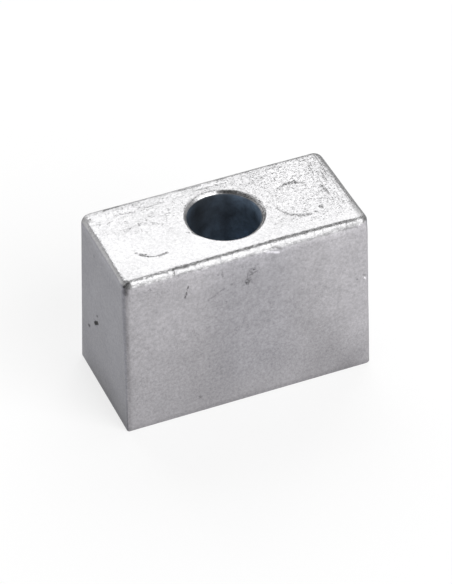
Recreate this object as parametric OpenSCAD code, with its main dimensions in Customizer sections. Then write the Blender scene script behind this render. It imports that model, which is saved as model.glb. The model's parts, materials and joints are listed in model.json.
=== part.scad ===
// Sacrificial anode: one block of zinc, cast in a two-part mould and held by one bolt.
// The block stands on its seat face, Z is up, and the origin is the middle of the seat.
// The seat lies at the mould's parting plane, so its edge is sharp. The walls lean in
// above it by the draft, and the edges round the top face are rounded.
// All sizes are in millimetres.

/* [Block] */
// Length of the block along X, at the seat
block_len = 40; // [34:0.5:90]
// Width of the block along Y, at the seat
block_wid = 19.5; // [17:0.5:60]
// Height from the seat to the top face
block_high = 28; // [10:0.5:80]
// Lean of the four walls towards the top, in degrees
draft_angle = 0.9; // [0:0.1:3]
// Height of the upright band that trimming leaves along the parting edge
trim_land = 0.3; // [0.1:0.1:2]

/* [Edges and corners] */
// Rounding of the top face's front edge
front_edge_r = 1; // [0.3:0.1:1.2]
// Rounding of the top face's rear edge
rear_edge_r = 1.5; // [0.3:0.1:1.6]
// Plan radius of the two front corners, just under the top face
front_corner_r = 1.3; // [1.2:0.1:3]
// Plan radius of the two rear corners, just under the top face
rear_corner_r = 1.6; // [1.6:0.1:3]
// Plan radius of the four corners at the seat
seat_corner_r = 0.6; // [0.2:0.1:3]

/* [Bolt bore] */
// Diameter of the cored bore, a clearance hole for a 10 mm bolt
bore_d = 11; // [5:0.1:13]
// Width and depth of the flare at the bore's top mouth
top_flare = 0.65; // [0.1:0.05:1.5]
// Width and depth of the broken edge at the bore's seat mouth
seat_flare = 0.3; // [0.1:0.05:1.5]

/* [Ejector pin marks] */
// Diameter of each mark
pin_d = 7.9; // [2:0.1:8]
// Depth of each mark below the top face
pin_sink = 0.12; // [0.05:0.01:0.6]
// Flat left between each mark and the end of the top face
pin_end_gap = 3.5; // [2:0.1:5]
// Distance of the two marks in front of the bore's axis
pin_forward = 1; // [0:0.1:3]

/* [Hidden] */
zinc = [0.78, 0.79, 0.80];
// How far a cutter runs past the face that it opens
past = 1;
// Faces round a bore or a pin mark, and round a rounded corner
round_fn = 96;
corner_fn = 32;
bore_r = bore_d / 2;

// Half size of the block at height z, where half is its half size at the seat
function drafted(half, z) = half - (z - trim_land) * tan(draft_angle);

// Corner post of the top face: a disc of plan radius corner_r whose upper edge
// is rounded by edge_r
module top_corner(corner_r, edge_r)
    rotate_extrude($fn = corner_fn)
        intersection() {
            translate([corner_r - edge_r, 0]) circle(edge_r, $fn = corner_fn);
            square([corner_r, edge_r]);
        }

// Puts a top corner at the end side (-1 or 1) of the front (-1) or rear (1) edge
module place_top_corner(end, side, corner_r, edge_r) {
    z = block_high - edge_r;
    x = drafted(block_len / 2, z) - corner_r;
    y = drafted(block_wid / 2, z) - corner_r;
    translate([end * x, side * y, z]) top_corner(corner_r, edge_r);
}

// Corner of the seat: a disc as thick as the trimmed land
module place_seat_corner(end, side)
    translate([end * (block_len / 2 - seat_corner_r), side * (block_wid / 2 - seat_corner_r), 0])
        cylinder(h = trim_land, r = seat_corner_r, $fn = corner_fn);

// The solid casting, before its bore and marks
module drafted_block()
    hull()
        for (end = [-1, 1]) {
            place_top_corner(end, -1, front_corner_r, front_edge_r);
            place_top_corner(end, 1, rear_corner_r, rear_edge_r);
            for (side = [-1, 1]) place_seat_corner(end, side);
        }

// Section of the core, turned about Z: a straight bore that flares at 45 degrees at each mouth
module bore_core()
    rotate_extrude($fn = round_fn)
        polygon([
            [0, -past],
            [bore_r + seat_flare + past, -past],
            [bore_r, seat_flare],
            [bore_r, block_high - top_flare],
            [bore_r + top_flare + past, block_high + past],
            [0, block_high + past]
        ]);

// Two shallow round sinks, one at each side of the bore
module ejector_marks() {
    pin_x = drafted(block_len / 2, block_high) - pin_end_gap - pin_d / 2;
    for (end = [-1, 1])
        translate([end * pin_x, -pin_forward, block_high - pin_sink])
            cylinder(h = pin_sink + past, d = pin_d, $fn = round_fn);
}

module anode_block()
    color(zinc)
        difference() {
            drafted_block();
            bore_core();
            ejector_marks();
        }

anode_block();
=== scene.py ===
# %% [markdown]
# # A block anode of cast zinc
# A sacrificial anode is bolted to a boat's metal parts and corrodes in their place. This one is
# a single zinc casting: a block whose walls lean in a little so that it leaves its mould, with
# rounded top edges, one round bore for its bolt, and two round marks where the mould's pins
# pushed it out. The solid model already gives the true size and form. This lesson dresses it:
# a fine mesh with the small unevenness of a casting, a zinc finish, a floor, light and a camera.

# %% Load the frame
import json
import math

import bpy
import numpy as np
from mathutils import Matrix, Vector


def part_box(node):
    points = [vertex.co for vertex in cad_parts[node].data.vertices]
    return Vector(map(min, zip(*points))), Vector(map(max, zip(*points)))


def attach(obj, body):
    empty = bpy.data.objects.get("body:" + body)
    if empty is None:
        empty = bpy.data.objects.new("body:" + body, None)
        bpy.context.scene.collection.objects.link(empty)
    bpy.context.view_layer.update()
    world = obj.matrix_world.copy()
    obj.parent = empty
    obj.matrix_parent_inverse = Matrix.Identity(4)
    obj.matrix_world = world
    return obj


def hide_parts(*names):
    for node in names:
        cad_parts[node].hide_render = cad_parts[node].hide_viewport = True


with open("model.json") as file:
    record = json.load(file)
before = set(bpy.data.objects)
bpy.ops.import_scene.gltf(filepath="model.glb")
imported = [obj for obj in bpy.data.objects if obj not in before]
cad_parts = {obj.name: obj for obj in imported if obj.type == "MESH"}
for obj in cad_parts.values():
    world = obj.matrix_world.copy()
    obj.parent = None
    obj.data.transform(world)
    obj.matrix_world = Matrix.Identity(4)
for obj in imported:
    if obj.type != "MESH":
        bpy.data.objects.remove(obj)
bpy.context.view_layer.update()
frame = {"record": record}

# %% [markdown]
# Blender works in metres, but a small casting is easier to think about in millimetres. So every
# size below is a number times MM, and points are turned into millimetres wherever a shape or a
# pattern is worked out.

# %% Sizes that the solid model gives
MM = 0.001
NODE = "anode_block"
low, high = (np.array(corner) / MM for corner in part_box(NODE))
length, width, height = high - low
mounts = {mount["name"]: mount for mount in frame["record"]["mounts"]}
bore_radius = mounts["bolt_bore"]["dims"]["r_mm"]
print(f"block {length:.2f} x {width:.2f} x {height:.2f} mm, bore radius {bore_radius:.2f} mm")

# %% [markdown]
# The camera comes first, because it decides what shows. Its direction was found by matching the
# block's corners to the photograph: it looks from the front left, 40 degrees above the floor,
# through a long lens, so that upright edges stay nearly parallel. A camera looks along its own
# -Z with its X to the right, so three unit vectors, right, up and back, are the columns of its
# rotation. A small roll turns right and up about the line of sight.

# %% Camera
azimuth, elevation, roll = np.radians([-22.27, 39.89, -0.84])
camera_distance = 491.14 * MM
rise_in_frame = 10.11 * MM
focal_pixels = 3200
frame_height_pixels = 584


def camera_axes(azimuth, elevation, roll):
    """Right, up and back of a camera that looks at the origin from that azimuth and elevation.

    Back points from the object to the camera. Right is level and square to back, up is square
    to both, and the roll then turns right and up within their own plane.
    """
    back = np.array([
        np.sin(azimuth) * np.cos(elevation),
        -np.cos(azimuth) * np.cos(elevation),
        np.sin(elevation),
    ])
    right = np.cross([0, 0, 1], back)
    right /= np.linalg.norm(right)
    up = np.cross(back, right)
    return (
        np.cos(roll) * right + np.sin(roll) * up,
        np.cos(roll) * up - np.sin(roll) * right,
        back,
    )


right, up, back = camera_axes(azimuth, elevation, roll)
camera_data = bpy.data.cameras.new("camera")
camera_data.sensor_width = 36
camera_data.lens = focal_pixels / frame_height_pixels * camera_data.sensor_width
camera_data.clip_start, camera_data.clip_end = 0.01, 20
camera = bpy.data.objects.new("camera", camera_data)
camera.matrix_world = Matrix.Translation(
    Vector(back * camera_distance + up * rise_in_frame)
) @ Matrix(np.stack([right, up, back], axis=1).tolist()).to_4x4()
bpy.context.scene.collection.objects.link(camera)
bpy.context.scene.camera = camera
print(f"camera lens {camera_data.lens:.1f} mm at {camera_distance:.3f} m")

# %% [markdown]
# ## The casting as one surface
# The whole block, with the bore through it, is a ring: walk up the bore, out over the top face,
# down the wall, in under the seat, and the walk ends where it began. So one grid covers it with
# no seam and no pole. One parameter runs round the block, the other along that walk. Each row of
# the grid is a closed curve at one place of the walk, and every curve has the same number of
# points, in step with its neighbours.
#
# A box with a Bevel modifier would be quicker, but it has no even grid, and a casting's slight
# waves need one.

# %% Sizes of the edges and of the bore's mouth
draft = np.radians(0.9)
trim_land = 0.3
front_edge, rear_edge, rear_right_edge = 1.0, 1.5, 1.27
# Corner radii seen from above, in the order rear right, rear left, front left, front right
TOP_CORNERS = np.array([1.6, 1.6, 1.3, 1.38])
SEAT_CORNERS = np.array([0.35, 0.35, 0.35, 0.9])
mouth_depth = 0.6
rim_radius = 6.17
rim_centre = np.array([0.14, -0.07])
seat_break = 0.3
print(f"the walls lean in by {height * np.tan(draft):.2f} mm over the height")

# %% [markdown]
# An outline is a rounded rectangle, walked anticlockwise: an arc at a corner, then the straight
# side up to the next one. With each point comes the direction that faces outwards there. A
# smaller outline with the same corner centres is then the same points moved inwards along those
# directions, which is how the rounded top edge is drawn. The front side gets the most points,
# because the worn edge above it shows the most.

# %% Outline of the block seen from above
SIDES_X = np.array([1, -1, -1, 1])
SIDES_Y = np.array([1, 1, -1, -1])
SIDE_POINTS = [100, 60, 180, 60]
ARC_POINTS = 12


def outline(half_x, half_y, radii):
    """Points and outward directions round a rounded rectangle.

    Corner k covers the angles from k to k + 1 quarter turns. A point on its arc is the arc's
    centre plus the radius times (cos, sin) of the angle, and that (cos, sin) is also its outward
    direction. A straight side runs evenly from the end of one arc to the start of the next.
    """
    points, outwards = [], []
    centres = np.stack([SIDES_X * (half_x - radii), SIDES_Y * (half_y - radii)], axis=1)
    for k in range(4):
        angles = (k + np.arange(ARC_POINTS) / ARC_POINTS) * np.pi / 2
        arc = np.stack([np.cos(angles), np.sin(angles)], axis=1)
        turn = (k + 1) * np.pi / 2
        facing = np.array([np.cos(turn), np.sin(turn)])
        following = (k + 1) % 4
        start = centres[k] + radii[k] * facing
        end = centres[following] + radii[following] * facing
        along = (np.arange(SIDE_POINTS[k]) / SIDE_POINTS[k])[:, None]
        points += [centres[k] + radii[k] * arc, start + (end - start) * along]
        outwards += [arc, np.repeat(facing[None], SIDE_POINTS[k], axis=0)]
    return np.concatenate(points), np.concatenate(outwards)


print("points round the block:", sum(SIDE_POINTS) + 4 * ARC_POINTS)

# %% Helpers for the rings


def ring(plan, z):
    """A closed curve in space: plan points with one height each."""
    return np.column_stack([plan, np.broadcast_to(z, len(plan))])


def drafted(half, z):
    """Half size of the block at height z, where half is its half size at the seat."""
    return half - (z - trim_land) * np.tan(draft)


def smooth_step(value, start, end):
    """0 below start, 1 above end, and 3t^2 - 2t^3 between them, where t is the share."""
    t = np.clip((value - start) / (end - start), 0, 1)
    return t * t * (3 - 2 * t)


# %% [markdown]
# The rounding of the top edge is 1 mm in front and 1.5 mm at the rear, a little less at the
# rear's right half. Along the right end it grows from the one to the other, and in the middle of
# the left end it is tighter. Where the rounding starts, the wall ends: that ring is called the
# shoulder. Each ring of the rounding is the shoulder moved inwards and upwards.

# %% The shoulder
half_length, half_width = length / 2, width / 2
mean_edge = (front_edge + rear_edge) / 2
shoulder_plan, outwards = outline(
    drafted(half_length, height - mean_edge),
    drafted(half_width, height - mean_edge),
    TOP_CORNERS,
)
shoulder_x, shoulder_y = shoulder_plan.T
rear_size = rear_edge + (rear_right_edge - rear_edge) * smooth_step(shoulder_x, -8, 9)
edge = front_edge + (rear_size - front_edge) * smooth_step(shoulder_y, -half_width, half_width)
in_front = smooth_step(-outwards[:, 1], 0.3, 1)
in_left_middle = smooth_step(-shoulder_x, 17.5, 19) * smooth_step(8.5 - np.abs(shoulder_y), 0, 4)
print(f"plain rounding from {edge.min():.2f} to {edge.max():.2f} mm")

# %% [markdown]
# The front edge was filed after casting, so its section isn't a quarter circle: it curves
# tightly at the top, is nearly flat in its middle, and below a tilt of 60 degrees it runs out in
# a wide curve. The file cut deeper in some places than in others, so a table gives the section's
# size along the edge. The middle of the left edge is worn in much the same way. Such a section
# is easiest to give as a radius for each tilt of the surface, and adding up the small steps,
# radius times change of tilt, gives its points.

# %% Sections of the filed and the worn edge
# Each row: X, how far the filed part reaches in and down, and the radius of its run-out
FILED_EDGE = np.array([
    (-18.5, 0.88, 1.15, 1.14),
    (-12.1, 0.92, 1.28, 1.20),
    (-11.6, 0.98, 0.82, 1.25),
    (-9.0, 1.02, 0.90, 1.30),
    (-8.0, 1.04, 0.98, 1.35),
    (-5.0, 1.11, 1.06, 1.60),
    (0.0, 1.13, 1.04, 1.80),
    (4.0, 1.15, 1.05, 2.15),
    (7.5, 1.11, 0.97, 2.45),
    (10.0, 1.09, 0.96, 2.45),
    (15.0, 1.04, 0.94, 2.20),
    (18.0, 0.92, 0.86, 1.20),
])
FILED_X, FILED_INSET, FILED_DROP, RUN_OUT = FILED_EDGE.T
inset_size = np.interp(shoulder_x, FILED_X, FILED_INSET)
drop_size = np.interp(shoulder_x, FILED_X, FILED_DROP)
run_out = np.interp(shoulder_x, FILED_X, RUN_OUT)
worn_size = 0.77 + 0.17 * smooth_step(shoulder_y, -7, 0) - 0.08 * smooth_step(shoulder_y, 2, 7)

FILED_SECTION = [0, 36, 44, 54, 60, 60.1, 90], [0.62, 0.62, 2.3, 2.3, 1.2, 0, 0]
RUN_OUT_SECTION = [0, 60, 60.1, 90], [0, 0, 1, 1]
WORN_SECTION = [0, 30, 45, 90], [0.5, 0.5, 1.3, 1.3]


def section(tilts_and_radii, tilt):
    """Inset and drop of a worn edge where it has tilted from level by that angle.

    The inset is the sum of radius times cos(tilt) over the tilts still to come, and the drop is
    the sum of radius times sin(tilt) over the tilts so far.
    """
    given_tilts, given_radii = tilts_and_radii
    tilts = np.linspace(0, np.pi / 2, 721)
    steps = np.interp(tilts, np.radians(given_tilts), given_radii) * (tilts[1] - tilts[0])
    inset = np.sum(steps * np.cos(tilts) * (tilts > tilt))
    drop = np.sum(steps * np.sin(tilts) * (tilts <= tilt))
    return inset, drop


filed_reach = section(FILED_SECTION, 0)[0] + section(RUN_OUT_SECTION, 0)[0]
print(f"a filed section of size 1 reaches in by {filed_reach:.2f} mm")

# %% [markdown]
# A file leaves a ragged border where it stops. A sum of seeded sine waves, some long and some
# short, moves the border of the flat top in and out by up to a tenth of a millimetre. Only the
# rings move: the spokes that the columns follow over the top face keep the angles of the plain
# border, because columns that cross would show as dark lines.

# %% Rings of the rounding
RAGGED_WAVES, RAGGED_SIZE = 24, 0.055
SLOWEST_WAVE, FASTEST_WAVE = 2.0, 9.0
waviness = np.random.default_rng(8)
per_mm = waviness.uniform(SLOWEST_WAVE, FASTEST_WAVE, RAGGED_WAVES)
shift = waviness.uniform(0, 2 * np.pi, RAGGED_WAVES)
ragged = np.sin(shoulder_x[:, None] * per_mm + shift).sum(axis=1) / np.sqrt(RAGGED_WAVES / 2)
ragged = ragged * smooth_step(18 - np.abs(shoulder_x), 0, 1.5)


def edge_ring(tilt, raggedness=RAGGED_SIZE):
    """Ring of the top rounding where the surface has tilted from level by that angle.

    A plain rounding's inset is its radius times 1 - sin(tilt), and its drop below the top is
    the radius times 1 - cos(tilt). Each column mixes the plain, the filed and the worn section.
    """
    filed_inset, filed_drop = section(FILED_SECTION, tilt)
    out_inset, out_drop = section(RUN_OUT_SECTION, tilt)
    worn_inset, worn_drop = section(WORN_SECTION, tilt)
    plain = 1 - in_front - in_left_middle
    inset = plain * edge * (1 - np.sin(tilt)) + in_left_middle * worn_size * worn_inset
    inset = inset + in_front * (inset_size * filed_inset + run_out * out_inset)
    inset = inset + in_front * raggedness * ragged * np.cos(tilt) ** 2
    drop = plain * edge * (1 - np.cos(tilt)) + in_left_middle * worn_size * worn_drop
    drop = drop + in_front * (drop_size * filed_drop + run_out * out_drop)
    return ring(shoulder_plan - inset[:, None] * outwards, height - drop)


seat_plan, _ = outline(half_length, half_width, SEAT_CORNERS)
flat_plan = edge_ring(0, raggedness=0)[:, :2]
around = np.arctan2(flat_plan[:, 1], flat_plan[:, 0])
spokes = np.stack([np.cos(around), np.sin(around)], axis=1)
print(f"ragged border, up to {RAGGED_SIZE * np.abs(ragged).max():.2f} mm off its line")


def between(first, last, shares):
    """Rings that lie between two rings, at the given shares of the way."""
    return [first + (last - first) * share for share in shares]


# %% [markdown]
# The rows are placed where the form needs them: close together over the bore's mouth and the
# rounded edges, wide apart down the bore. The walk leaves out each stretch's last ring, because
# the next stretch starts with it. The flare at the mouth isn't quite centred on the bore, since
# the core sat a little askew in the mould. Its rim is wider at the right, narrower at the front
# left, and has one chip.

# %% The walk from the bore to the bore
ROWS = {"bore": 20, "mouth": 12, "top": 80, "edge": 16, "wall": 70, "land": 4, "seat": 15}
SEAT_BREAK_HEIGHT = 0.08
CHIP_ANGLE, CHIP_WIDTH, CHIP_DEPTH = 200, 8, 0.28


def evenly(rows):
    """Shares from 0 up to, but not including, 1."""
    return np.arange(rows) / rows


def mouth_ring(share):
    """Ring of the flare at that share of the way from the bore up to the top face.

    Halfway between a straight cone, whose inset and rise go evenly with the share, and a quarter
    circle, whose inset is 1 - cos and whose rise is sin of share times a quarter turn.
    """
    turn = share * np.pi / 2
    widening = (share + 1 - np.cos(turn)) / 2
    rising = (share + np.sin(turn)) / 2
    bore_plan = bore_radius * spokes
    plan = bore_plan + (rim_plan - bore_plan) * widening
    return ring(plan, height - mouth_depth * (1 - rising))


def bump_round(angle, half_width, size):
    """Size times exp(-(difference of angle / half width)^2), with all angles in degrees."""
    difference = (np.degrees(around) - angle + 180) % 360 - 180
    return size * np.exp(-((difference / half_width) ** 2))


chip = bump_round(CHIP_ANGLE, CHIP_WIDTH, CHIP_DEPTH)
worn_wide = bump_round(8, 26, 0.33) + bump_round(-115, 35, -0.11)
rim_plan = rim_centre + (rim_radius + chip + worn_wide)[:, None] * spokes
bore_low = ring(bore_radius * spokes, seat_break)
bore_high = ring(bore_radius * spokes, height - mouth_depth)
rim = ring(rim_plan, height)
shoulder = edge_ring(np.pi / 2)
land = ring(seat_plan, trim_land)
seat_side = ring(seat_plan, SEAT_BREAK_HEIGHT)
seat_outer = ring(seat_plan - SEAT_BREAK_HEIGHT * outwards, 0)
seat_inner = ring((bore_radius + seat_break) * spokes, 0)
smooth_form = np.stack(
    between(bore_low, bore_high, evenly(ROWS["bore"]))
    + [mouth_ring(share) for share in evenly(ROWS["mouth"])]
    + between(rim, edge_ring(0), evenly(ROWS["top"]))
    + [edge_ring(share * np.pi / 2) for share in evenly(ROWS["edge"])]
    + between(shoulder, land, evenly(ROWS["wall"]))
    + between(land, seat_side, evenly(ROWS["land"] - 1))
    + [seat_side]
    + between(seat_outer, seat_inner, evenly(ROWS["seat"] - 1))
    + [seat_inner]
)
stretch = np.repeat(list(ROWS), list(ROWS.values()))[:, None]
rows, columns = smooth_form.shape[:2]
print(f"grid of {rows} rows and {columns} columns, {2 * rows * columns} triangles")

# %% [markdown]
# A grid that closes on itself both ways needs no edge cases: the neighbour of the last row is
# the first, and np.roll finds it. The same trick gives a normal at every point, as the cross
# product of the steps to its neighbours.

# %% Normals of a closed grid


def grid_normals(grid):
    """Unit normal at each point: the cross product of the two directions along the grid."""
    round_step = np.roll(grid, -1, axis=1) - np.roll(grid, 1, axis=1)
    walk_step = np.roll(grid, -1, axis=0) - np.roll(grid, 1, axis=0)
    normal = np.cross(walk_step, round_step)
    return normal / np.linalg.norm(normal, axis=2, keepdims=True)


facing = grid_normals(smooth_form)
middle_of_top = ROWS["bore"] + ROWS["mouth"] + ROWS["top"] // 2
print("normal at the middle of the top face:", facing[middle_of_top, 0].round(3))

# %% [markdown]
# ## The unevenness of a casting
# Molten zinc shrinks as it sets, and the mould's face isn't perfect, so no face of the block is
# truly flat. Seeded noise on a lattice gives slow waves and a finer ripple. The relief is only
# ever inwards, so that the block keeps its size.

# %% Lattice noise
LATTICE_PERIOD = 48


def lattice_noise(points, cell, seed):
    """Smooth random values, mostly between -1 and 1, at each point.

    Space is cut into cubes of side cell. Each corner of a cube holds a random vector, and gives
    a point the dot product of that vector and the step from the corner to the point. The eight
    corners' values are blended with the fade 6t^5 - 15t^4 + 10t^3 of the way across the cube.
    """
    vectors = np.random.default_rng(seed).normal(size=(*[LATTICE_PERIOD] * 3, 3))
    place = points / cell
    base = np.floor(place).astype(int)
    step = place - base
    fade = step**3 * (step * (step * 6 - 15) + 10)
    total = np.zeros(points.shape[:-1])
    for corner in np.ndindex(2, 2, 2):
        at = (base + corner) % LATTICE_PERIOD
        weight = np.prod(np.where(corner, fade, 1 - fade), axis=-1)
        slope = vectors[at[..., 0], at[..., 1], at[..., 2]]
        total += weight * np.sum(slope * (step - corner), axis=-1)
    return total


waves = (
    0.030 * lattice_noise(smooth_form, 9, 1)
    + 0.012 * lattice_noise(smooth_form, 2.8, 2)
    + 0.005 * lattice_noise(smooth_form, 0.9, 3)
)
print(f"waves from {waves.min():.3f} to {waves.max():.3f} mm")

# %% [markdown]
# Two ejector pins have left round sinks in the top face. They are drawn a few hundredths of a
# millimetre deep, because a deeper step would show more than the photograph's faint rings do.
# Trimming the flash has left a ragged groove along the front, where the rounding starts. Knocks
# have dented the edges here and there, and the left end has one pit. Each of these dents is a
# smooth dip: its depth times exp(-(distance / radius)^2).

# %% Sinks, the trimmed line and dents
PIN_X, PIN_Y, PIN_RADIUS, PIN_SINK = 12.08, -0.97, 3.95, 0.04
TRIM_STEP, TRIM_DEPTH, TRIM_WIDTH, TRIM_WANDER = 0.32, 0.04, 0.14, 0.06
NO_LINE = 1
# Each row: the place, the radius and the depth
DENTS = [
    ((-11.6, -9.2, 27.7), 0.35, 0.12),
    ((-8.9, -9.35, 27.1), 0.35, 0.05),
    ((4.6, -9.35, 27.2), 0.35, 0.10),
    ((-19.2, -9.0, 27.5), 0.60, 0.18),
    ((-19.4, -9.2, 26.4), 0.50, 0.08),
    ((18.9, -9.3, 16.8), 0.45, 0.18),
    ((17.9, -9.2, 27.8), 0.50, 0.12),
    ((19.1, -9.0, 26.9), 0.75, 0.20),
    ((-19.82, 2.67, 11.65), 0.60, 0.16),
]
x, y, z = np.moveaxis(smooth_form, -1, 0)
from_pin = np.hypot(np.abs(x) - PIN_X, y - PIN_Y)
sinks = -PIN_SINK * (1 - smooth_step(from_pin, PIN_RADIUS - 0.3, PIN_RADIUS + 0.25))
sinks = np.where(stretch == "top", sinks, 0)
line_points = np.stack([x, 0 * x, 0 * x], axis=-1)
flat_inset = section(FILED_SECTION, 0)[0] * np.interp(x, FILED_X, FILED_INSET)
flat_inset = flat_inset + section(RUN_OUT_SECTION, 0)[0] * np.interp(x, FILED_X, RUN_OUT)
line_inset = flat_inset - TRIM_STEP + TRIM_WANDER * lattice_noise(line_points, 1.7, 5)
line_depth = np.clip(TRIM_DEPTH * (1 + lattice_noise(line_points, 0.8, 6)), 0, 1)
from_line = y + drafted(half_width, height) - line_inset
from_line = np.where(z > height - front_edge, from_line, NO_LINE)
trimmed_line = -line_depth * np.exp(-((from_line / TRIM_WIDTH) ** 2))
dents = sum(
    -depth * np.exp(-np.sum(((smooth_form - place) / radius) ** 2, axis=-1))
    for place, radius, depth in DENTS
)
print(f"{len(DENTS)} dents, deepest {-dents.min():.2f} mm")

# %% [markdown]
# The relief moves each point along its normal. It fades out towards the seat, which is flat so
# that the anode stands and conducts, and in the bore, where a bolt has to pass.

# %% The finished surface
WAVE_MARGIN, SHARE_IN_BORE = 0.008, 0.2
off_seat = np.where(stretch == "seat", 0, smooth_step(z, trim_land, 1.5))
off_bore = np.where(stretch == "bore", SHARE_IN_BORE, 1)
hollows = np.minimum(waves - WAVE_MARGIN, 0)
relief = (hollows + sinks + trimmed_line + dents) * off_seat * off_bore
surface = smooth_form + relief[..., None] * facing
print(f"relief from {relief.min():.3f} to {relief.max():.3f} mm")

# %% [markdown]
# Every square of the grid becomes one face of the mesh. The piece stands for the solid model's
# node and rides on the only body that there is.

# %% From a closed grid to a mesh


def ring_mesh(name, grid):
    """Mesh object of a grid that closes both ways, given in millimetres.

    Each square of the grid is one face: a point, the next one along the walk, that one's
    neighbour round the block, and the first point's neighbour.
    """
    index = np.arange(grid.shape[0] * grid.shape[1]).reshape(grid.shape[:2])
    onwards = np.roll(index, -1, axis=0)
    quads = np.stack(
        [index, onwards, np.roll(onwards, -1, axis=1), np.roll(index, -1, axis=1)], axis=2
    )
    mesh = bpy.data.meshes.new(name)
    mesh.from_pydata((grid.reshape(-1, 3) * MM).tolist(), [], quads.reshape(-1, 4).tolist())
    mesh.shade_smooth()
    mesh.update()
    made = bpy.data.objects.new(name, mesh)
    bpy.context.scene.collection.objects.link(made)
    return made


block = ring_mesh("cast_zinc_block", surface)
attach(block, "root")
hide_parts(NODE)

# %% [markdown]
# The finish has to know the place on the smooth form, in millimetres, the way that the face
# looks, where the bore's wall and its lip are, and how far the trimmed line is. The mesh carries
# all five as attributes, so that the small relief doesn't shift or stretch a pattern.

# %% Attributes that the finish reads


def carry(name, kind, values):
    """Store one number or one vector for each point of the block's mesh."""
    field = "vector" if kind == "FLOAT_VECTOR" else "value"
    attribute = block.data.attributes.new(name, kind, "POINT")
    attribute.data.foreach_set(field, np.ascontiguousarray(values, dtype=np.float32).ravel())


row_in_mouth = np.clip(np.arange(rows)[:, None] - ROWS["bore"], 0, None)
in_bore = np.clip(2 - row_in_mouth / 2, 0, 1) * np.ones((1, columns))
lip_share = np.clip(1 - row_in_mouth / ROWS["mouth"], 0, 1) * np.ones((1, columns))
carry("smooth_place", "FLOAT_VECTOR", smooth_form)
carry("facing", "FLOAT_VECTOR", facing)
carry("bore_wall", "FLOAT", in_bore)
carry("lip", "FLOAT", lip_share)
carry("from_line", "FLOAT", from_line)
print("attributes:", [attribute.name for attribute in block.data.attributes])

# %% [markdown]
# ## Zinc, as cast
# Fresh zinc is bright. In air it dulls to a mid grey, with a fine sandy grain from the mould.
# On top of that its colour carries painted light: painted highlights on the front and left top
# edges, on a nick and in the bore's mouth, and painted shade in the bore, in the deep pit, in the
# trimmed groove, down the front left corner, on the ends and low down on the sides.
#
# The finish is a metal, so that it mirrors the studio in a blurred way. What varies is worked
# out as plain arithmetic on a few noise fields. The class below lets Python's operators add the
# Math nodes.

# %% Arithmetic on sockets
zinc = bpy.data.materials.new("cast_zinc")
zinc.use_nodes = True
tree = zinc.node_tree  # the tree that Field makes its nodes in
shader = tree.nodes["Principled BSDF"]


class Field:
    """A value that varies over the surface: one output socket, with arithmetic."""

    def __init__(self, socket):
        self.socket = socket

    @staticmethod
    def node(kind, inputs=None, output=0, **settings):
        """Any node: its settings first, then a value or a link for each of its inputs."""
        made = tree.nodes.new("ShaderNode" + kind)
        for name, value in settings.items():
            setattr(made, name, value)
        for key, value in (inputs or {}).items():
            if isinstance(value, Field):
                tree.links.new(value.socket, made.inputs[key])
            else:
                made.inputs[key].default_value = value
        return Field(made.outputs[output])

    @staticmethod
    def math(operation, *values):
        """A Math node, whose operands are numbers or fields."""
        return Field.node("Math", dict(enumerate(values)), operation=operation)

    def __add__(self, other):
        return Field.math("ADD", self, other)

    __radd__ = __add__

    def __sub__(self, other):
        return Field.math("SUBTRACT", self, other)

    def __rsub__(self, other):
        return Field.math("SUBTRACT", other, self)

    def __mul__(self, other):
        return Field.math("MULTIPLY", self, other)

    __rmul__ = __mul__

    def rise(self, start, end):
        """0 at start, 1 at end and a smooth curve between; a start above the end falls."""
        return Field.node(
            "MapRange", {0: self, 1: start, 2: end}, interpolation_type="SMOOTHSTEP"
        )

    def share(self, start, end):
        """0 at start, 1 at end and a straight line between."""
        return Field.node("MapRange", {0: self, 1: start, 2: end})

    def plateau(self, start, full, fading, end):
        """0 up to start, 1 from full to fading and 0 beyond end, with smooth curves between."""
        return self.rise(start, full) * self.rise(end, fading)

    def limit(self):
        """The value, kept between 0 and 1."""
        return Field.node("Clamp", {0: self})


def count_nodes(step):
    print(f"{step}: {len(tree.nodes)} nodes so far")


def vector_math(operation, *values, output=0):
    """A Vector Math node, whose operands are vectors or fields."""
    return Field.node("VectorMath", dict(enumerate(values)), output, operation=operation)


def scaled(vector, scale):
    """A vector field times a number or a number field."""
    return Field.node("VectorMath", {0: vector, "Scale": scale}, operation="SCALE")


def parts(vector):
    """The three numbers of a vector field."""
    return [Field(output) for output in Field.node("SeparateXYZ", {0: vector}).socket.node.outputs]


def attribute(name, output="Fac"):
    """What the mesh carries under that name."""
    return Field.node("Attribute", output=output, attribute_name=name)


place = attribute("smooth_place", "Vector")
along_x, along_y, along_z = parts(place)
look_x, look_y, look_z = parts(attribute("facing", "Vector"))
bore_wall = attribute("bore_wall")
lip = attribute("lip")


def cloud(per_mm, seed, detail=2.0, roughness=0.5, output=0):
    """Soft noise from 0 to 1 with so many features per millimetre along X, Y and Z."""
    shifted = Field.node(
        "Mapping",
        {"Vector": place, "Location": (seed * 17.3, seed * 5.1, seed * 9.7), "Scale": per_mm},
    )
    return Field.node(
        "TexNoise",
        {"Vector": shifted, "Scale": 1.0, "Detail": detail, "Roughness": roughness},
        output,
    )


# %% [markdown]
# The grain is the mould's sand in the metal: noise fields from broad patches of oxide down to
# specks a tenth of a millimetre wide. Each is measured from its middle, so that it darkens as
# much as it brightens.
#
# Each face has a mask that is 1 where the smooth form's normal points that face's way, so the
# masks blend into each other round the edges.

# %% Grain and faces
patches = cloud((0.13,) * 3, 1, detail=1.0) - 0.5
mottle = cloud((0.5,) * 3, 2) - 0.5
sand = cloud((2.2,) * 3, 3, detail=3.0, roughness=0.6) - 0.5
dust = cloud((6.0,) * 3, 4, detail=1.0) - 0.5
tone = 1 + 0.22 * patches + 0.20 * mottle + 0.75 * sand + 0.50 * dust

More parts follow.
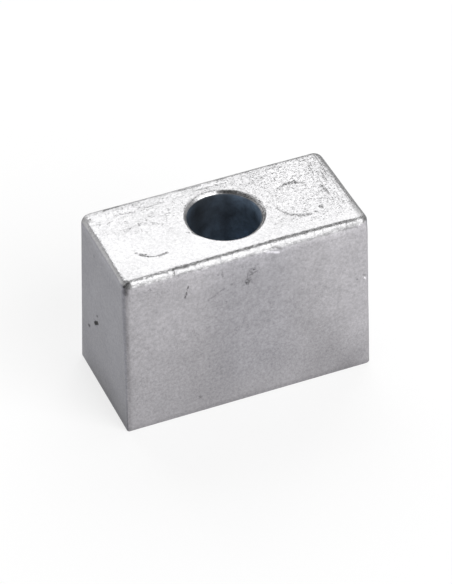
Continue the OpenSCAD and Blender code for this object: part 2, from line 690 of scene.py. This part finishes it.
top_face = look_z.rise(0.75, 0.97)
side_face = look_z.rise(0.5, 0.2)
end_face = (look_x * look_x).rise(0.3, 0.8) * side_face
front_face = look_y.rise(-0.6, -0.9) * side_face
left_wall = look_x.rise(-0.5, -0.8)
nearly_level = look_z.rise(0.992, 0.9995)
count_nodes("grain and faces")

# %% [markdown]
# The top face was trimmed and rubbed. It is the brightest because it mirrors the rear panel, and
# its colour is brightened a little more towards the rear and the right. Specks of oxide are left
# in it, few at the front left and many towards the rear and the right, where they follow the
# strokes of the tool: along the rear edge and across the right end.

# %% Specks and strokes of the top face
crowding = 0.08 + 0.34 * along_y.rise(-4, 9) + 0.66 * along_x.rise(-2, 13) * along_y.rise(-10, -5)
grit = cloud((3.4, 4.6, 3.4), 6, detail=3.0, roughness=0.8).rise(0.52, 0.70)
dots = cloud((2.8, 3.6, 2.8), 13, roughness=0.6)
lone_dots = dots.rise(0.60, 0.67) * along_y.rise(-3, 4)
rear_strokes = cloud((0.55, 3.4, 1.0), 7, detail=4.0, roughness=0.7).rise(0.56, 0.68)
rear_strokes = rear_strokes * along_y.rise(1.5, 8.5)
end_strokes = cloud((4.2, 0.32, 1.0), 8, detail=3.0, roughness=0.7).rise(0.50, 0.66)
end_strokes = end_strokes * along_x.rise(14.6, 16.8) * along_y.rise(-7, -3)
smears = cloud((0.25, 0.9, 1.0), 14).rise(0.45, 0.65) * along_y.rise(2, 8)
top_dark = 0.85 * crowding * grit + 0.45 * lone_dots + 0.26 * rear_strokes + 0.42 * end_strokes
top_dark = (top_dark + 0.10 * smears) * top_face
top_brightening = top_face * (0.05 * along_y.rise(-3, 8) + 0.03 * along_x.rise(9, 17))
count_nodes("top face's specks")

# %% [markdown]
# A mark is a stroke between two points: dark or light within half its width of the line that
# joins them, and soft at its border. Distance to a line works on every face of the block, so
# one table holds scratches, pits and smears alike. A little noise shifts the place that is
# measured, which makes the borders ragged. Two more noise fields break a mark up along its way.


# %% Strokes
def on_top(x, y):
    return (x, y, height)


def on_front(x, z):
    return (x, -drafted(half_width, z), z)


def on_left(y, z):
    return (-drafted(half_length, z), y, z)


SHAKE_MM = 0.5
shift_of_place = vector_math("SUBTRACT", cloud((3.0,) * 3, 9, output=1), (0.5,) * 3)
shaken = vector_math("ADD", place, scaled(shift_of_place, SHAKE_MM))
broken = 0.2 + 0.8 * cloud((5.5,) * 3, 11).rise(0.36, 0.58)
ticks = 0.28 + 0.72 * cloud((4.0,) * 3, 17, roughness=0.7).rise(0.44, 0.58)


def stroke(start, end, half_width_mm):
    """1 on the line from start to end, falling to 0 beyond half the stroke's width.

    The share of the way along the line is the dot product with its direction, kept between 0
    and 1, and the nearest point of the line is the start plus that share of the way.
    """
    start, end = np.array(start), np.array(end)
    way = end - start
    share = vector_math("DOT_PRODUCT", shaken, way.tolist(), output="Value").share(
        start @ way, end @ way
    )
    nearest = vector_math("MULTIPLY_ADD", share, way.tolist(), start.tolist())
    away = vector_math("DISTANCE", shaken, nearest, output="Value")
    return away.rise(half_width_mm * 1.5, half_width_mm * 0.3)


def arc(centre, radius, middle_angle, half_angle, half_width_mm):
    """1 on part of a level circle, falling to 0 beyond half the stroke's width.

    The distance to the circle is how far the distance to its centre differs from its radius.
    The part is where the direction from the centre is near that of the arc's middle.
    """
    from_centre = vector_math("SUBTRACT", shaken, centre)
    away = vector_math("LENGTH", from_centre, output="Value") - radius
    turn, half_turn = np.radians([middle_angle, half_angle])
    middle = (np.cos(turn), np.sin(turn), 0)
    towards = vector_math("NORMALIZE", from_centre)
    nearness = vector_math("DOT_PRODUCT", towards, middle, output="Value")
    within = nearness.rise(np.cos(half_turn * 1.1), np.cos(half_turn * 0.8))
    return (away * away).rise((half_width_mm * 1.5) ** 2, (half_width_mm * 0.4) ** 2) * within


def strokes(face, rows):
    """All strokes of one face, each row two points on it, half a width and a strength."""
    total = 0
    for x_0, y_0, x_1, y_1, half_width_mm, strength in rows:
        total = total + strength * stroke(face(x_0, y_0), face(x_1, y_1), half_width_mm)
    return total


# %% Marks on the top face
LEFT_PIN, RIGHT_PIN = (-12.10, -1.00), (12.05, -0.75)
# Each row: the centre, the radius, the middle and half the spread of the arc in degrees, half
# the width and the strength
TOP_ARCS = [
    (RIGHT_PIN, 4.05, 113, 14, 0.18, 0.60),
    (RIGHT_PIN, 3.95, 88, 15, 0.27, 0.80),
    (RIGHT_PIN, 3.72, 68, 14, 0.20, 0.55),
    (RIGHT_PIN, 4.25, 8, 17, 0.24, 0.62),
    (RIGHT_PIN, 4.25, 201, 13, 0.16, 0.60),
    (RIGHT_PIN, 4.22, 222, 12, 0.25, 0.72),
    (RIGHT_PIN, 4.08, 250, 20, 0.28, 0.75),
    (rim_centre, 6.24, 116, 32, 0.12, 0.50),
    (LEFT_PIN, 3.72, 230, 9, 0.25, 1.20),
    (LEFT_PIN, 3.90, 250, 14, 0.13, 1.00),
    (LEFT_PIN, 3.90, 277, 13, 0.23, 1.10),
    (LEFT_PIN, 4.00, 120, 30, 0.20, 0.15),
]
# Each row: two points in X and Y, half the width and the strength
TOP_MARKS = [
    (-15.22, -3.02, -15.12, -3.10, 0.20, 0.9),
    (14.00, -3.80, 14.10, -3.90, 0.33, 1.1),
    (12.71, -4.50, 12.91, -4.58, 0.20, 0.7),
    (-14.98, 6.31, -12.05, 6.07, 0.14, 0.45),
    (-10.07, 6.25, -6.95, 6.45, 0.14, 0.45),
    (-14.83, 2.64, -13.49, 2.83, 0.16, 0.35),
    (-16.39, 5.12, -16.20, 5.12, 0.20, 0.5),
    (-12.28, 3.07, -12.10, 3.07, 0.22, 0.5),
    (-11.38, 2.94, -11.20, 2.94, 0.18, 0.4),
    (-10.39, 2.24, -10.20, 2.24, 0.18, 0.4),
    (-4.04, 8.07, -0.47, 8.10, 0.17, 0.55),
    (-1.85, 7.11, 3.14, 7.05, 0.17, 0.55),
    (-18.60, 6.70, -18.50, 7.10, 0.18, 0.6),
    (-6.51, -1.51, -6.35, -1.70, 0.18, 0.6),
    (-15.70, 8.35, -13.80, 8.35, 0.32, 1.0),
    (-13.60, 8.25, -9.00, 8.30, 0.14, 0.6),
    (2.00, 8.30, 9.00, 8.40, 0.20, 0.6),
]
arcs = sum(
    strength * arc(on_top(*centre), radius, middle_angle, half_angle, half_width_mm)
    for centre, radius, middle_angle, half_angle, half_width_mm, strength in TOP_ARCS
)
top_marks = (arcs * ticks + strokes(on_top, TOP_MARKS) * broken) * top_face
print(f"{len(TOP_ARCS)} arcs and {len(TOP_MARKS)} strokes on the top face")

# %% [markdown]
# The front has scratches, small pits and one pitted smear in its upper middle. The same strokes,
# made wide and weak, give its broad soft clouds, lighter and darker. The lighter ones just under
# the top edge are painted highlight that spreads the glow of the mirrored strip. One nick cuts the
# front top edge. The left end has a deep pit, dark with dirt and painted shade, which is dug into
# the mesh too, and three small ones.

# %% Marks on the front and the left end
# Each row: two points in X and Z, half the width and the strength, where less than 0 is lighter
FRONT_MARKS = [
    (-15.62, 25.94, -15.50, 25.85, 0.20, 0.5),
    (-9.62, 24.60, -9.66, 24.40, 0.15, 0.6),
    (-9.64, 24.53, -9.90, 23.50, 0.11, 0.5),
    (-9.90, 23.50, -10.17, 22.64, 0.16, 0.9),
    (-4.88, 25.30, -4.88, 25.10, 0.17, 0.4),
    (-4.21, 25.46, -4.15, 24.60, 0.19, 0.35),
    (-1.00, 25.65, -0.95, 25.50, 0.20, 0.4),
    (0.50, 24.55, 0.65, 24.40, 0.30, 0.45),
    (-0.45, 22.20, -0.09, 22.67, 0.42, 0.33),
    (-2.80, 22.75, -2.65, 22.70, 0.20, 0.35),
    (-3.68, 19.80, -3.68, 19.68, 0.17, 0.6),
    (-4.03, 22.34, -6.44, 21.03, 0.20, 0.34),
    (0.20, 17.60, 0.90, 17.50, 0.55, 0.12),
    (2.75, 11.23, 2.95, 11.15, 0.30, -0.10),
    (-8.28, 2.86, -8.10, 2.80, 0.25, 0.5),
    (17.50, 17.10, 17.60, 17.00, 0.16, 0.5),
    (18.60, 17.50, 18.95, 17.40, 0.20, 0.45),
]
FRONT_CLOUDS = [
    (1.00, 9.50, 5.50, 5.00, 4.5, -0.13),
    (-7.50, 10.50, -6.50, 5.00, 4.0, 0.09),
    (9.00, 15.50, 9.50, 12.00, 3.0, 0.08),
    (19.00, 7.00, 19.00, 4.00, 4.0, -0.18),
    # These three lighter rows are painted highlight under the mirrored strip at the top edge.
    (-8.50, 25.40, 1.50, 25.40, 2.0, -0.13),
    (5.50, 25.60, 6.50, 25.60, 1.5, -0.12),
    (14.50, 25.60, 18.50, 25.60, 2.0, -0.12),
    (16.00, 1.20, 17.50, 2.40, 1.6, 0.16),
    (-11.00, 0.80, -3.00, 0.80, 2.0, 0.05),
]
# Each row: two points in Y and Z, half the width and the strength
LEFT_MARKS = [
    (2.35, 13.30, 1.95, 13.60, 0.24, 0.55),
    (6.10, 8.60, 5.65, 8.90, 0.26, 0.7),
    (2.84, 24.48, 2.75, 24.40, 0.14, 0.4),
]
# The deep pit is painted nearly black: dirt and the painted shade inside it.
pit = (2.6 * stroke(on_left(3.32, 11.15), on_left(2.02, 12.17), 0.27)).limit()
nick = 0.55 * stroke(on_top(-11.53, -8.7), (-11.68, -9.3, 27.3), 0.11)
smear = stroke(on_front(-0.3, 22.4), on_front(0.95, 24.4), 0.85) * dots.rise(0.46, 0.66)
side_marks = strokes(on_front, FRONT_MARKS) * broken + strokes(on_left, LEFT_MARKS) + 0.5 * smear
side_marks = side_marks * side_face
front_clouds = strokes(on_front, FRONT_CLOUDS) * front_face
print(f"{len(FRONT_MARKS) + len(LEFT_MARKS)} strokes and {len(FRONT_CLOUDS)} clouds on the sides")

# %% [markdown]
# Oxide and painted shade both lie on the zinc as films. A film is a share of the light that it
# takes away, so films on the same place multiply. The upright edge at the front left gets painted
# shade: darkest just under the top corner, with a narrow band down its length, and a little
# painted highlight towards its foot.

# %% Painted shade at the front left corner
lean = float(np.tan(draft))
uneven = 1 + 1.5 * mottle
front_left = (look_x * look_y).rise(0, 0.55) * look_x.rise(0, -0.2) * side_face
# Painted shade high on the edge, turning to a little painted highlight towards the bottom.
corner_painted_light = front_left * (0.24 * along_z.rise(4, 26) - 0.13) * uneven
from_end = along_x + length / 2 - lean * along_z
beside_corner = from_end.rise(0.85, 0.3) * look_x.rise(-0.95, -0.7) * side_face
middle_band = from_end.rise(1.6, 0.3) * along_z.plateau(3, 9, 16, 22) * front_face
band_depth = 0.21 + 0.05 * along_z.plateau(2, 9, 18, 26)
# A band of painted shade down the corner.
corner_band = 0.10 * middle_band + beside_corner * band_depth * uneven
# A blob of painted shade just under the top corner.
corner_blob = stroke((-19.45, -9.2, 26.2), (-19.0, -9.05, 27.6), 0.6)
count_nodes("front left corner")

# %% [markdown]
# The two ends, the left of the front and the lower part of the sides get painted shade, and the
# foot of the left end and of the front gets more painted shade, darker towards the bottom. The
# middle of the front is painted a little darker and bluer.

# %% Painted shade on the ends, low down and at the foot
# Painted shade on both ends, and towards the left of the front.
ends_painted_shade = 0.43 * end_face + 0.065 * along_x.rise(4, -13) * front_face
# Painted shade, darker towards the bottom of the sides and more towards the right.
low_painted_shade = along_z.rise(18, 1) * side_face
low_painted_shade = low_painted_shade * (0.08 + 0.19 * along_x.rise(-19, 19) + 0.02 * end_face)
# Painted shade on the middle of the front.
middle_zone = along_x.plateau(-9, -2, 3, 11) * along_z.rise(0, 8) * front_face
# Painted shade at the foot of the left end and of the front, and a little on the left end's rear.
left_foot = (0.25 * along_z.rise(6.5, 0.8) + 0.14 * along_z.rise(1.8, 0.7)) * along_y.rise(11, 3)
rear_of_left = 0.07 * along_y.rise(3, 8) * along_z.rise(8, 16)
front_foot = 0.15 * along_z.rise(1.2, 0.35) * front_face
foot = (left_foot + rear_of_left) * left_wall + front_foot
count_nodes("films")

# %% [markdown]
# Dirt and painted shade fill the groove that trimming left along the front. The mesh carries the
# distance to the groove's line, noise makes the dark line wander and bead, and loose specks lie
# beside it.

# %% The dark line along the front
# Squares of the distances in mm beyond which there is no dark and within which it is full
TRIM_DARK, SPECKS_BESIDE = (0.19**2, 0.05**2), (0.42**2, 0.2**2)
wobble = cloud((1.5,) * 3, 16, detail=3.0, roughness=0.7) - 0.5
away = attribute("from_line") + (0.3 + 0.5 * along_x.rise(-12, -10)) * wobble
beads = cloud((1.2,) * 3, 19, detail=3.0, roughness=0.75).rise(0.40, 0.56)
# Dirt and painted shade in the groove.
trim_line = (away * away).rise(*TRIM_DARK) * (0.3 + 0.7 * beads)
beside_line = (away * away).rise(*SPECKS_BESIDE) * dots.rise(0.54, 0.62)
trim_line = trim_line + beside_line * look_z.rise(0.80, 0.90) * along_x.rise(-12, -11)
trim_line = trim_line * (0.58 - 0.17 * along_x.rise(-11, -9))
count_nodes("dark line")

# %% [markdown]
# The filed strip below the line is bare metal and mirrors the front lamp. Its colour adds painted
# light: a painted glow on the front just under the strip, painted shade over the strip along a
# torn border, over its lower part and towards its right end, and a little painted highlight
# below it at the right. In its middle a small curl of metal is drawn as a painted highlight over
# a stroke of painted shade. One nick on the right upright edge has a painted glint.

# %% The filed strip
torn = cloud((1.3, 1.3, 1.3), 12, detail=3.0, roughness=0.7) - 0.5
torn_z = along_z + 1.8 * torn
front_edge_zone = along_y.rise(-7.9, -8.6)
# Painted glow just under the strip and painted shade over the strip itself.
filed = 0.14 * torn_z.rise(25.7, 26.6) - 0.32 * torn_z.rise(26.9, 27.25)
filed = (filed + 0.04 * torn_z.rise(27.35, 27.65)) * front_edge_zone
lower_depth = 0.10 + 0.07 * along_x.rise(3, 6) - 0.08 * along_x.rise(6, 9)
# Painted shade over the strip's lower part and right end, with a little painted highlight below.
lower_part = look_z.plateau(0.50, 0.58, 0.68, 0.76) * lower_depth * along_x.rise(-9, -3)
right_strip_painted_shade = (0.25 + 0.3 * mottle) * along_x.plateau(10.5, 15, 17.7, 18.5)
right_strip_painted_shade = right_strip_painted_shade * look_z.plateau(0.38, 0.48, 0.60, 0.74)
under_strip = look_z.plateau(0.10, 0.25, 0.45, 0.60) * along_x.rise(5, 8)
lower_strip = (lower_part + right_strip_painted_shade - 0.07 * under_strip) * front_edge_zone
# Painted highlight of the curl, over painted shade.
curl_painted_highlight = stroke((2.7, -9.2, 27.1), (4.8, -9.36, 26.3), 0.22)
under_curl_painted_shade = stroke((3.7, -9.15, 27.5), (5.3, -9.34, 26.75), 0.2)
# Painted glint on a nick.
painted_glint = stroke(on_front(18.85, 16.80), on_front(19.15, 16.65), 0.20)
count_nodes("filed strip")

# %% [markdown]
# The left top edge gets painted light along its curve: painted highlight high up and a little
# painted shade lower down. The right top edge and the rear one are darker, the rear one most of
# all towards the right.

# %% The other top edges
left_curve = look_x.rise(-0.12, -0.3)
# Painted highlight and painted shade on the left top edge.
left_edge_painted_light = 0.18 * along_z.rise(25.4, 27.2) * look_x.rise(-0.15, -0.35) * (1 + 2 * mottle)
left_bands = 0.27 * look_z.rise(0.4, 0.7) - 0.11 * look_z.rise(0.12, 0.35)
left_edge_painted_light = left_edge_painted_light + left_curve * left_bands
left_nicks = left_curve * look_z.rise(0.5, 0.9) * dots.rise(0.50, 0.60)
right_edge_darkening = along_x.rise(17.8, 18.6) * look_z.rise(0.05, 0.4) * (1 - 0.6 * mottle)
right_edge_darkening = right_edge_darkening * (1 - 0.6 * nearly_level * along_y.rise(-6, -2)) * along_y.rise(-9.2, -8.0)
rear_edge_darkening = along_y.rise(7.1, 8.4) * look_z.rise(0.05, 0.4)
rear_edge_darkening = rear_edge_darkening * (0.36 + 2.0 * mottle + 0.50 * along_x.rise(0, 12))
rear_edge_darkening = rear_edge_darkening * (1 - 0.6 * nearly_level * along_x.rise(0, 8))
rear_left_edge_darkening = look_y.rise(0.05, 0.35) * look_x.rise(-0.05, -0.4) * look_z.rise(0.9, 0.6)
count_nodes("other top edges")

# %% [markdown]
# Turning marks are left in the right half of the flare at the bore's mouth: fine rings, darkest
# at the rear and at the front. At the left rear the flare gets a painted highlight, a bright
# crescent.

# %% Rings in the bore's mouth
ring_place = Field.node("CombineXYZ", {0: lip * 5, 1: look_x, 2: look_y})
rings = Field.node("TexNoise", {"Vector": ring_place, "Scale": 2.2, "Detail": 2.0})
lip_right = along_x.rise(0.7, 1.8)
lip_depth = 0.36 + 0.60 * along_y.rise(2.0, 4.8) + 0.42 * along_y.rise(0.8, -2.5)
lip_dark = lip.rise(0.04, 0.30) * lip_right * lip_depth
lip_dark = lip_dark * (0.5 + 1.0 * rings.rise(0.4, 0.6)) * (1 - bore_wall)
rear_lip = lip.rise(0.0, 0.3) * along_x.plateau(1.6, 2.4, 3.2, 4.4) * along_y.rise(2, 4)
left_lip = lip.rise(0.0, 0.15) * along_x.rise(-2.0, -3.0) * along_y.rise(1, 3)
# Painted highlight: the bright crescent in the flare.
painted_crescent = (0.6 + 0.6 * lip.rise(0.5, 0.2)) * lip.rise(0.02, 0.12)
painted_crescent = painted_crescent * along_x.rise(-2.9, -1.5) * along_y.rise(2, 4) * (1 - lip_right)
count_nodes("bore's mouth")

# %% [markdown]
# The bore's wall is the rough skin that the sand core left, painted a dark blue-grey that stands
# for the shade in the bore. It isn't bare metal, so it mirrors nothing. Painted light makes it
# paler deep down, and on the wall's right side more than on its left, where the lamps leave it
# darker. The normal tells the sides apart: it points into the bore, so on the right side it
# looks to the left.

# %% Painted shade in the bore
# Painted shade: the bore wall's dark blue-grey.
BORE_PAINTED_SHADE = (0.025, 0.035, 0.049)
# Painted light that evens out the bore's shade: paler deep down and on the right.
core_depth = 0.8 + 3.4 * along_z.rise(25.5, 16.5) + 0.35 * along_z.rise(24.5, 26.5)
left_side = 0.38 + 0.75 * look_x.rise(0.3, 0.85)
right_side = 0.94 * look_x.rise(0.5, -0.4) + 3.9 * look_x.rise(-0.4, -1.0)
bore_painted_light = core_depth * (left_side + right_side) * (1 + 1.8 * mottle + 0.8 * sand)
core_colour = scaled(BORE_PAINTED_SHADE, bore_painted_light)
count_nodes("bore")

# %% [markdown]
# Now the finish is put together. Dark marks add up and are limited to 1. Films of oxide and of
# painted shade take light away, and brightening and painted highlights give some back, each as a
# factor. The three zincs differ a little in hue: the top face is neutral and the front slightly
# warm, while the ends' darker, slightly blue zinc is painted shade, also used on the front's
# middle. Marks, the bore and the deep pit are rougher than the rest, and a fine relief of sand,
# hammered edges and pits tilts the normal.

# %% Colour
TOP_ZINC = (0.474, 0.472, 0.478, 1)
FRONT_ZINC = (0.473, 0.461, 0.482, 1)
# A darker, bluer copy of the zinc: painted shade of the end faces.
END_ZINC = (0.455, 0.453, 0.495, 1)
DARKEST_MARK = 0.8


def mixed(factor, first, second):
    """The first colour where factor is 0 and the second where it is 1."""
    return Field.node("Mix", {0: factor, 6: first, 7: second}, output=2, data_type="RGBA")


# corner_blob is painted shade, and trim_line is dirt and painted shade.
marks = top_marks + side_marks + top_dark + 0.72 * corner_blob + trim_line + nick + lip_dark
marks = (marks + 0.3 * left_nicks).limit()
films = [foot, front_clouds, ends_painted_shade, low_painted_shade, corner_painted_light, corner_band, lower_strip]
films += [0.17 * middle_zone, 0.4 * under_curl_painted_shade, 0.97 * pit, 0.18 * left_lip, 0.6 * rear_lip]
films += [0.42 * right_edge_darkening, 0.42 * rear_edge_darkening, 0.6 * rear_left_edge_darkening]
shine_and_painted_highlights = [filed, left_edge_painted_light, 0.7 * curl_painted_highlight, 1.1 * painted_glint, painted_crescent, top_brightening]
shade = tone * (1 - DARKEST_MARK * marks)
shade = shade * math.prod(1 - film for film in films) * math.prod(1 + shine for shine in shine_and_painted_highlights)
casting = mixed(side_face, TOP_ZINC, FRONT_ZINC)
casting = mixed((end_face + 0.3 * middle_zone).limit(), casting, END_ZINC)
colour = mixed(bore_wall, scaled(casting, shade), core_colour)
print(f"{len(films)} films and {len(shine_and_painted_highlights)} shines")

# %% Gloss, metal and relief
gloss = 0.42 + 0.15 * mottle + 0.10 * sand + 0.20 * marks + 0.22 * bore_wall + 0.30 * pit
bare_metal = (1 - bore_wall) * (1 - pit)
edge_zone = look_z.plateau(0.05, 0.3, 0.97, 0.9995)
hammer = cloud((1.1,) * 3, 10, detail=3.0, roughness=0.6) - 0.5
chatter = cloud((2.6,) * 3, 20) - 0.5
hammered = (0.05 + 0.07 * along_x.plateau(-12.5, -11, 2, 6)) * hammer
hammered = hammered + 0.05 * chatter * look_z.rise(0.75, 0.9)
relief_mm = 0.03 * sand + 0.016 * dust + 0.03 * mottle + hammered * edge_zone
relief_mm = relief_mm - 0.05 * (side_marks + 0.4 * top_dark)
bump = Field.node("Bump", {"Height": relief_mm, "Distance": MM, "Strength": 1.0})
count_nodes("gloss and relief")

# %% Join the finish to the shader
finish = {"Base Color": colour, "Roughness": gloss, "Metallic": bare_metal, "Normal": bump}
for socket_name, value in finish.items():
    tree.links.new(value.socket, shader.inputs[socket_name])
block.data.materials.append(zinc)
count_nodes("zinc finish")

# %% [markdown]
# ## The studio
# The block stands on matt white paper. To the camera, and to rays that are mirrored or pass
# through something, the paper is three quarters plain white and one quarter what the lamps make
# of it. So the ground is nearly as white as the photograph's and still holds the block's soft
# shadow. Only scattered light, such as the bore's wall gets, comes from the paper as it is.

# %% Floor
FLOOR_HALF = 3.0
BACKDROP_SHARE = 0.75
PAPER_WHITE = (0.97, 0.97, 0.97, 1)
floor_mesh = bpy.data.meshes.new("floor")
floor_mesh.from_pydata(
    [(side_x * FLOOR_HALF, side_y * FLOOR_HALF, 0) for side_x, side_y in zip(SIDES_X, SIDES_Y)],
    [],
    [(0, 1, 2, 3)],
)
floor = bpy.data.objects.new("floor", floor_mesh)
bpy.context.scene.collection.objects.link(floor)
print(f"floor of {2 * FLOOR_HALF:.0f} m by {2 * FLOOR_HALF:.0f} m")

# %% White paper
paper = bpy.data.materials.new("white_paper")
paper.use_nodes = True
tree = paper.node_tree  # from here on, Field makes its nodes in the paper's material
paper_shader = tree.nodes["Principled BSDF"]
paper_shader.inputs["Base Color"].default_value = PAPER_WHITE
paper_shader.inputs["Roughness"].default_value = 0.9
seen = Field.node("LightPath", output="Is Camera Ray")
for kind in ("Is Glossy Ray", "Is Transmission Ray"):
    seen = Field.math("MAXIMUM", seen, Field.node("LightPath", output=kind))
white = Field.node("Emission")
matt = Field(paper_shader.outputs[0])
surface_of_paper = Field.node("MixShader", {0: BACKDROP_SHARE * seen, 1: matt, 2: white})
tree.links.new(surface_of_paper.socket, tree.nodes["Material Output"].inputs["Surface"])
floor.data.materials.append(paper)
count_nodes("white paper")

# %% [markdown]
# Metal shows what it mirrors. The top face mirrors the upper rear, so a soft panel stands there
# and turns it white. The rounded front edge mirrors the upper front, where the second panel
# makes it bright and throws the shadow to the rear left. Between the panels the room overhead is
# dark, and its mirror image is the dark line at the start of the front rounding. Low down the
# room is a pale grey, which the other edges show.

# %% The room
ROOM_LOW, ROOM_HIGH = 0.60, 0.12
DARK_FROM, DARK_ABOVE = 0.40, 0.75
world = bpy.data.worlds.new("studio")
bpy.context.scene.world = world
world.use_nodes = True
tree = world.node_tree  # and from here on in the world
upwards = parts(Field.node("TexCoord", output="Generated"))[2]
strength = Field.node(
    "MapRange", {0: upwards, 1: DARK_FROM, 2: DARK_ABOVE, 3: ROOM_LOW, 4: ROOM_HIGH}
)
background = tree.nodes["Background"]
background.inputs["Color"].default_value = (1, 1, 1, 1)
tree.links.new(strength.socket, background.inputs["Strength"])
print(f"room of {ROOM_LOW} low down and {ROOM_HIGH} overhead")


# %% Lamps
def soft_light(name, azimuth, elevation, distance, size, radiance):
    """A panel that faces the block and whose surface shows that radiance.

    A panel's power spreads over its area and, from each point, over a half space, so a radiance
    of r needs a power of pi times r times the area.
    """
    data = bpy.data.lights.new(name, "AREA")
    data.shape, data.size, data.size_y = "RECTANGLE", *size
    data.energy = np.pi * radiance * size[0] * size[1]
    turn, tilt = np.radians([azimuth, elevation])
    towards = Vector((
        np.sin(turn) * np.cos(tilt),
        -np.cos(turn) * np.cos(tilt),
        np.sin(tilt),
    ))
    light = bpy.data.objects.new(name, data)
    light.matrix_world = Matrix.Translation(towards * distance) @ towards.to_track_quat(
        "Z", "Y"
    ).to_matrix().to_4x4()
    light.visible_camera = False
    bpy.context.scene.collection.objects.link(light)
    print(f"{name}: {data.energy:.1f} W")


PANEL_DISTANCE = 1.6
soft_light("rear_panel", 162, 42, PANEL_DISTANCE, size=(1.65, 1.25), radiance=2.45)
soft_light("front_panel", 27, 41, PANEL_DISTANCE, size=(1.15, 1.15), radiance=4.9)

# %% [markdown]
# The Standard view shows a colour as it is written. The block must not outgrow the solid.

# %% Finish
bpy.context.scene.view_settings.view_transform = "Standard"
